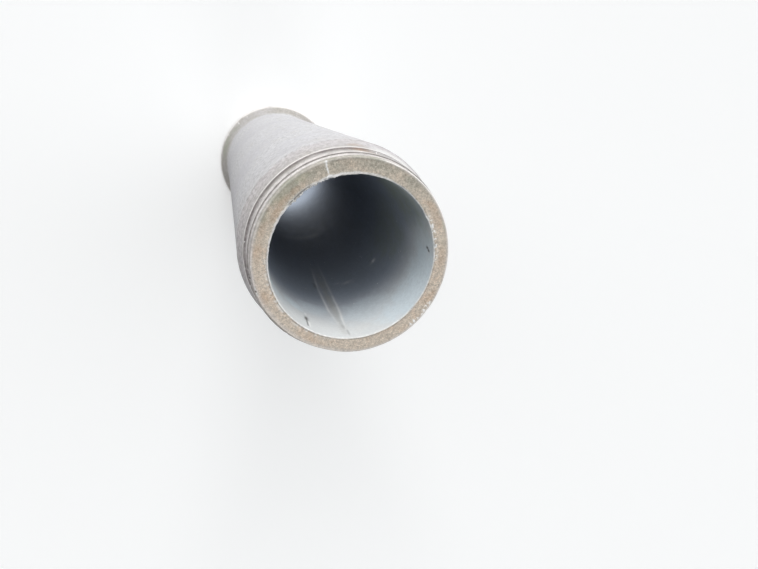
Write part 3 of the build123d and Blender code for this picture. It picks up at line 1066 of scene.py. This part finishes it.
# The direction that the even light fades towards, and the parts of it at which it is dim and bright.
SKY_LEAN, SKY_ENDS = (0.22, 1.0, 0.0), (0.15, -0.55)
# Each lamp's kind, where it hangs and the point that it is turned to.
LAMPS = {
    "key": ("SUN", (0.3, -9.0, 6.7), (0.0, 0.0, 2.3)),
    "fill": ("SUN", (-0.6, 6.0, 3.2), (0.0, 0.0, 2.3)),
    "far_end": ("AREA", (0.03, -0.10, 0.12), (-0.08, 0.25, 0.27)),
}
FAR_END_SIZE, FAR_END_SPREAD = 0.16, math.radians(122)


class PIPE_OT_stage(bpy.types.Operator):
    """Build the pale floor, the soft light and the camera"""
    bl_idname = "pipe.stage"
    bl_label = "Stage"

    def execute(self, context):
        scene = context.scene
        mesh = bpy.data.meshes.new("floor")
        corners = [(x * FLOOR_REACH, y * FLOOR_REACH, 0) for x, y in ((-1, -1), (1, -1), (1, 1), (-1, 1))]
        mesh.from_pydata(corners, [], [(0, 1, 2, 3)])
        floor = bpy.data.objects.new("floor", mesh)
        scene.collection.objects.link(floor)
        mesh.materials.append(self.floor_material(scene.pipe_colours))
        self.even_light(scene, scene.pipe_stage)
        self.lamps(scene, scene.pipe_stage)
        self.camera(scene, scene.pipe_stage)
        scene.view_settings.view_transform = "Standard"
        return {"FINISHED"}

    def floor_material(self, colours):
        """A matt floor that the camera sees paler than the object does."""
        material = bpy.data.materials.new("studio_floor")
        shade = Shading(material)
        matt = shade.node("BsdfDiffuse", {"Color": FLOOR_GREY})
        pale = shade.node("BsdfDiffuse", {"Color": colours.floor})
        glow = shade.node("Emission", {"Color": colours.floor, "Strength": FLOOR_GLOW})
        both = shade.node("AddShader", {0: pale.outputs[0], 1: glow.outputs[0]})
        shade.finish("OutputMaterial", both, matt)
        return material

    def even_light(self, scene, view):
        """Light from all round that is stronger from the weathered side, before a plain pale backdrop."""
        world = bpy.data.worlds.new("studio_light")
        scene.world = world
        shade = Shading(world)
        ways = {0: shade.coordinates["Generated"], 1: SKY_LEAN}
        lean = shade.node("VectorMath", ways, operation="DOT_PRODUCT").outputs["Value"]
        strength = shade.rise(lean, *SKY_ENDS, view.sky_dim, view.sky_bright)
        sky = shade.node("Background", {"Color": SKY_COLOUR, "Strength": strength})
        shown = shade.node("Background", {"Color": BACKDROP_COLOUR})
        shade.finish("OutputWorld", shown, sky)

    def lamps(self, scene, view):
        """A mild soft lamp on the weathered side, a low one behind, and a small one at the foot of the bore.
        No camera sees them."""
        for name, (kind, place, aim) in LAMPS.items():
            light = bpy.data.lights.new(name, kind)
            light.energy = getattr(view, name)
            if kind == "SUN":
                light.angle = view.key_angle
            else:
                light.shape = "DISK"
                light.size = FAR_END_SIZE
                light.spread = FAR_END_SPREAD
                light.color = LAMP_COLOUR
            lamp = bpy.data.objects.new(name, light)
            lamp.location = place
            lamp.rotation_mode = "QUATERNION"
            lamp.rotation_quaternion = (Vector(aim) - Vector(place)).to_track_quat("-Z", "Y")
            lamp.visible_camera = False
            scene.collection.objects.link(lamp)

    def camera(self, scene, view):
        """A level camera, as the pipe lies in the photograph: the picture's right is square to -Y."""
        data = bpy.data.cameras.new("camera")
        data.lens = view.lens
        data.sensor_width = 36.0
        camera = bpy.data.objects.new("camera", data)
        place = Vector(view.camera_place)
        forward = (Vector(view.camera_aim) - place).normalized()
        right = forward.cross(Vector((0, -1, 0))).normalized()
        up = right.cross(forward)
        turned = Matrix((right, up, -forward)).transposed()
        camera.matrix_world = Matrix.Translation(place) @ turned.to_4x4()
        scene.collection.objects.link(camera)
        scene.camera = camera


class PIPE_PT_panel(bpy.types.Panel):
    """Lists the pieces and their sizes, wear and colours"""
    bl_label = "Concrete culvert pipe"
    bl_idname = "PIPE_PT_panel"
    bl_space_type = "VIEW_3D"
    bl_region_type = "UI"
    bl_category = "Pipe"

    def draw(self, context):
        layout = self.layout
        for operator in PIECES:
            layout.operator(operator.bl_idname)
        for group in GROUPS:
            box = layout.box()
            box.label(text=group.removeprefix("pipe_").capitalize())
            settings = getattr(context.scene, group)
            for name in settings.__annotations__:
                box.prop(settings, name)


GROUPS = {"pipe_sizes": PipeSizes, "pipe_wear": PipeWear, "pipe_colours": PipeColours,
          "pipe_stage": PipeStage}
PIECES = (PIPE_OT_barrel, PIPE_OT_spigot, PIPE_OT_bore, PIPE_OT_bell, PIPE_OT_stage)
CLASSES = (*GROUPS.values(), *PIECES, PIPE_PT_panel)


def register():
    for cls in CLASSES:
        bpy.utils.register_class(cls)
    for name, group in GROUPS.items():
        setattr(bpy.types.Scene, name, PointerProperty(type=group))


def unregister():
    for name in GROUPS:
        delattr(bpy.types.Scene, name)
    for cls in reversed(CLASSES):
        bpy.utils.unregister_class(cls)


def main():
    """Makes every piece in order."""
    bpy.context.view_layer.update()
    register()
    bpy.ops.pipe.barrel()
    bpy.ops.pipe.spigot()
    bpy.ops.pipe.bore()
    bpy.ops.pipe.bell()
    bpy.ops.pipe.stage()


if __name__ == "__main__":
    main()
